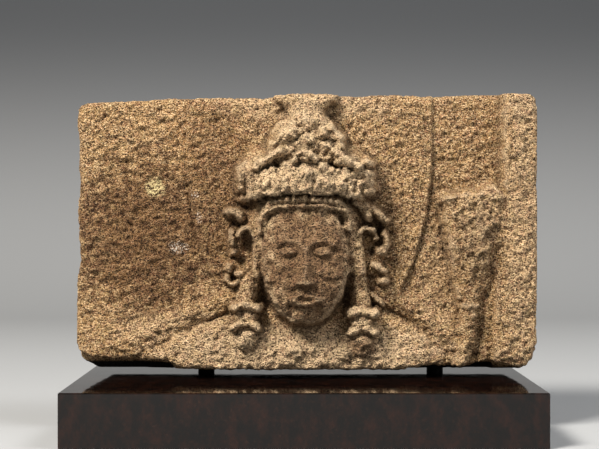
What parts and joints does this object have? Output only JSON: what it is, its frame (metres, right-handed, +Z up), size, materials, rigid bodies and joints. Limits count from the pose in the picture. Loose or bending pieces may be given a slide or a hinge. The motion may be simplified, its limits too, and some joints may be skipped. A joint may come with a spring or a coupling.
{
  "type": "temple relief block with a bodhisattva head",
  "caption": "Squared volcanic temple stone carved in relief with a crowned bodhisattva head, halo, lotus bud and frame, raised on steel pins over a dark base.",
  "frame": {"origin": "centre of the display base's underside", "axes": "+Z up from the base's underside, -Y towards the viewer of the carved face, +X to that viewer's right along the stone's length"},
  "size_m": [0.3949, 0.26, 0.2875],
  "materials": {
    "stone": "matte",
    "lacquer": "gloss",
    "steel": "satin"
  },
  "bodies": {
    "root": {"display_base": "lacquer", "left_pin": "steel", "right_pin": "steel", "relief_block": "stone"}
  },
  "joints": []
}
